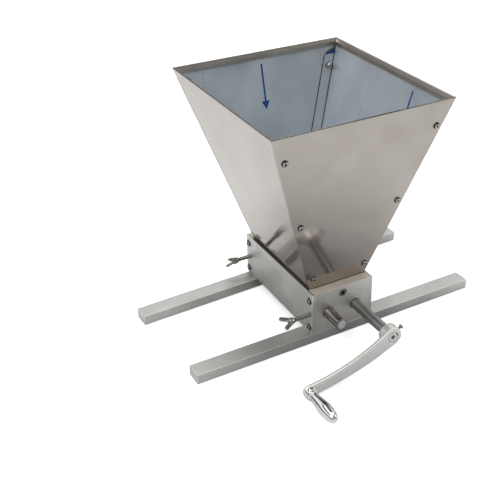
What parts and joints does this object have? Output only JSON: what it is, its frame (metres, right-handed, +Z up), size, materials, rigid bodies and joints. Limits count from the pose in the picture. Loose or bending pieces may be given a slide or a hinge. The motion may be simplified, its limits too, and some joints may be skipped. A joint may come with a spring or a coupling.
{
  "type": "grain mill",
  "caption": "Hand-cranked two-roller grain mill: square sheet-metal hopper on an adjustable roller box, carried by two flat rails that span a bucket.",
  "frame": {"origin": "bottom centre of the whole object's box, on the ground the rails lie on", "axes": "+X along the rails to the right, +Y away from the crank, +Z up"},
  "size_m": [0.371, 0.316, 0.2768],
  "materials": {
    "rail_aluminium": "drawn flat bar, satin, fine lengthwise lines",
    "plate_aluminium": "matt rolled plate",
    "stainless_sheet": "brushed stainless sheet, soft reflections",
    "roller_steel": "ground steel, rollers knurled",
    "stub_steel": "dark turned steel",
    "bush_bronze": "plain sintered bronze",
    "crank_aluminium": "satin cast arm with polished edges",
    "chrome": "bright chrome plate",
    "fastener_steel": "bright stainless fasteners",
    "protective_film": "thin pale blue peel-off film on the inside of the hopper"
  },
  "bodies": {
    "frame": {"front_rail": "rail_aluminium", "rear_rail": "rail_aluminium", "front_rail_screw_1": "fastener_steel", "front_rail_screw_2": "fastener_steel", "rear_rail_screw_1": "fastener_steel", "rear_rail_screw_2": "fastener_steel", "front_end_plate": "plate_aluminium", "rear_end_plate": "plate_aluminium", "left_side_plate": "plate_aluminium", "right_side_plate": "plate_aluminium", "left_front_upper_screw": "fastener_steel", "left_front_lower_screw": "fastener_steel", "left_rear_upper_screw": "fastener_steel", "left_rear_lower_screw": "fastener_steel", "right_front_upper_screw": "fastener_steel", "right_front_lower_screw": "fastener_steel", "right_rear_upper_screw": "fastener_steel", "right_rear_lower_screw": "fastener_steel", "front_hopper_screw": "fastener_steel", "rear_hopper_screw": "fastener_steel", "front_drive_bush": "bush_bronze", "rear_drive_bush": "bush_bronze", "hopper_front_panel": "stainless_sheet", "hopper_rear_panel": "stainless_sheet", "hopper_left_panel": "stainless_sheet", "hopper_right_panel": "stainless_sheet", "hopper_bolt_front_left_1": "fastener_steel", "hopper_bolt_front_left_2": "fastener_steel", "hopper_bolt_front_left_3": "fastener_steel", "hopper_bolt_front_right_1": "fastener_steel", "hopper_bolt_front_right_2": "fastener_steel", "hopper_bolt_front_right_3": "fastener_steel", "hopper_bolt_rear_left_1": "fastener_steel", "hopper_bolt_rear_left_2": "fastener_steel", "hopper_bolt_rear_left_3": "fastener_steel", "hopper_bolt_rear_right_1": "fastener_steel", "hopper_bolt_rear_right_2": "fastener_steel", "hopper_bolt_rear_right_3": "fastener_steel", "hopper_nut_front_left_1": "fastener_steel", "hopper_nut_front_left_2": "fastener_steel", "hopper_nut_front_left_3": "fastener_steel", "hopper_nut_front_right_1": "fastener_steel", "hopper_nut_front_right_2": "fastener_steel", "hopper_nut_front_right_3": "fastener_steel", "hopper_nut_rear_left_1": "fastener_steel", "hopper_nut_rear_left_2": "fastener_steel", "hopper_nut_rear_left_3": "fastener_steel", "hopper_nut_rear_right_1": "fastener_steel", "hopper_nut_rear_right_2": "fastener_steel", "hopper_nut_rear_right_3": "fastener_steel"},
    "crank": {"drive_roller": "roller_steel", "crank_arm": "crank_aluminium", "crank_set_screw": "fastener_steel", "handle_spindle": "chrome"},
    "grip": {"handle_grip": "chrome"},
    "gap_adjuster": {"front_eccentric_bush": "stub_steel", "rear_eccentric_bush": "stub_steel"},
    "idler": {"idler_roller": "roller_steel"},
    "front_wing": {"front_wing_bolt": "fastener_steel"},
    "rear_wing": {"rear_wing_bolt": "fastener_steel"}
  },
  "joints": [
    {"name": "crank_turn", "type": "hinge", "parent": "frame", "child": "crank", "pos_m": [0.02052, -0.05398, 0.035], "axis": [0, 1, 0], "continuous": true},
    {"name": "grip_spin", "type": "hinge", "parent": "crank", "child": "grip", "pos_m": [-0.08548, -0.13398, 0.008], "axis": [0, 1, 0], "continuous": true},
    {"name": "gap_adjust", "type": "hinge", "parent": "frame", "child": "gap_adjuster", "pos_m": [-0.01468, -0.04398, 0.035], "axis": [0, 1, 0], "range_deg": [-75, 75]},
    {"name": "idler_spin", "type": "hinge", "parent": "gap_adjuster", "child": "idler", "pos_m": [-0.01468, 0.04603, 0.0358], "axis": [0, 1, 0], "continuous": true},
    {"name": "front_wing_turn", "type": "hinge", "parent": "frame", "child": "front_wing", "pos_m": [-0.05848, -0.02498, 0.035], "axis": [-1, 0, 0], "range_deg": [-180, 270]},
    {"name": "rear_wing_turn", "type": "hinge", "parent": "frame", "child": "rear_wing", "pos_m": [-0.05548, 0.11703, 0.035], "axis": [-1, 0, 0], "range_deg": [0, 270]}
  ],
  "couplings": [
    {"joint": "idler_spin", "follows": "crank_turn", "ratio": -1}
  ]
}
